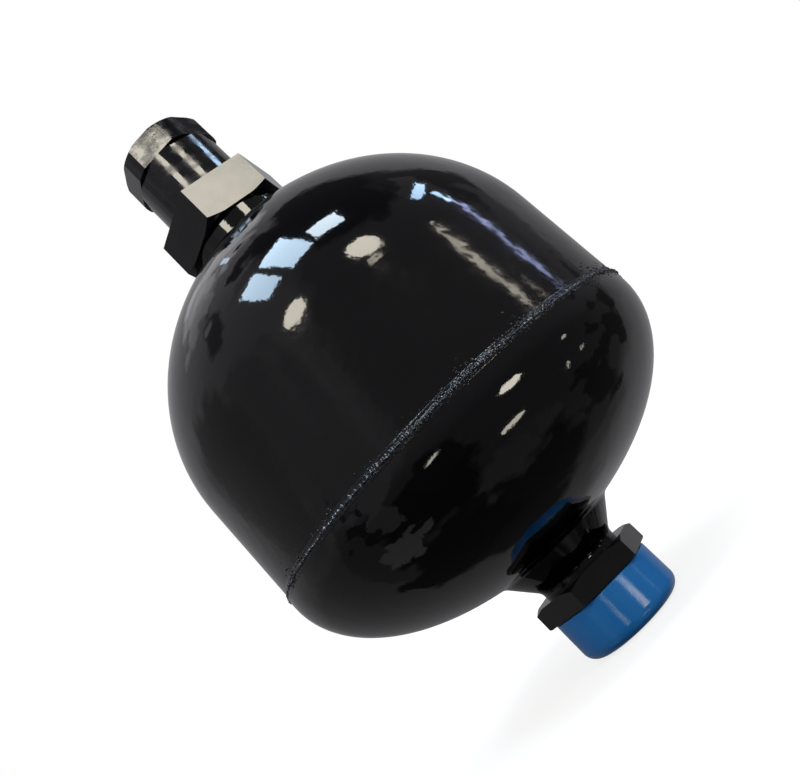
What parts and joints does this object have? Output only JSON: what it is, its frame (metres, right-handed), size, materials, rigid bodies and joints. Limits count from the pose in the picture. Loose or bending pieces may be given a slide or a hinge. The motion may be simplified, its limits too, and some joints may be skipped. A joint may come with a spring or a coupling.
{
  "type": "bladder accumulator",
  "caption": "Welded steel bladder accumulator: domed shell, gas valve under a hexagon-ended cap, and a poppet fluid port under a plastic cap.",
  "frame": {"origin": "centre of the port cap's flat outer end, which is what the vessel stands on", "axes": "+Z along the vessel's axis toward the gas end; -Y is the side seen from the front"},
  "size_m": [0.122, 0.122, 0.1934],
  "materials": {
    "black_paint": "glossy black paint",
    "weld_paint": "black paint over a weld run",
    "plain_steel": "machined steel",
    "spring_steel": "bright spring wire",
    "black_rubber": "matt moulded rubber",
    "brass": "turned brass",
    "bronze": "turned bronze",
    "blue_plastic": "moulded plastic with a soft shine"
  },
  "bodies": {
    "vessel": {"lower_shell": "black_paint", "upper_shell": "black_paint", "girth_weld": "weld_paint", "weld_backing_ring": "plain_steel", "bladder": "black_rubber", "gas_stem": "plain_steel", "stem_lock_nut": "black_paint", "gas_valve_body": "brass", "gas_valve_ring": "black_rubber", "gas_valve_clip": "plain_steel", "gas_valve_spring": "spring_steel", "valve_seal_cap": "brass", "seal_cap_gasket": "black_rubber", "protective_cap": "black_paint", "port_body": "black_paint", "port_ring": "black_rubber", "guide_bush": "bronze", "poppet_spring": "spring_steel", "port_cap": "blue_plastic"},
    "poppet_valve": {"poppet": "plain_steel", "poppet_washer": "plain_steel", "poppet_lock_nut": "plain_steel"},
    "charging_pin": {"gas_valve_pin": "brass", "gas_valve_seal": "black_rubber"}
  },
  "joints": [
    {"name": "poppet_slide", "type": "slide", "parent": "vessel", "child": "poppet_valve", "axis": [0, 0, 1], "range_m": [-0.0045, 0], "stiffness_N_per_m": 1500, "springref_m": 0.003, "deforming": ["poppet_spring"]},
    {"name": "pin_slide", "type": "slide", "parent": "vessel", "child": "charging_pin", "axis": [0, 0, 1], "range_m": [-0.0015, 0], "stiffness_N_per_m": 600, "springref_m": 0.001, "deforming": ["gas_valve_spring"]}
  ]
}
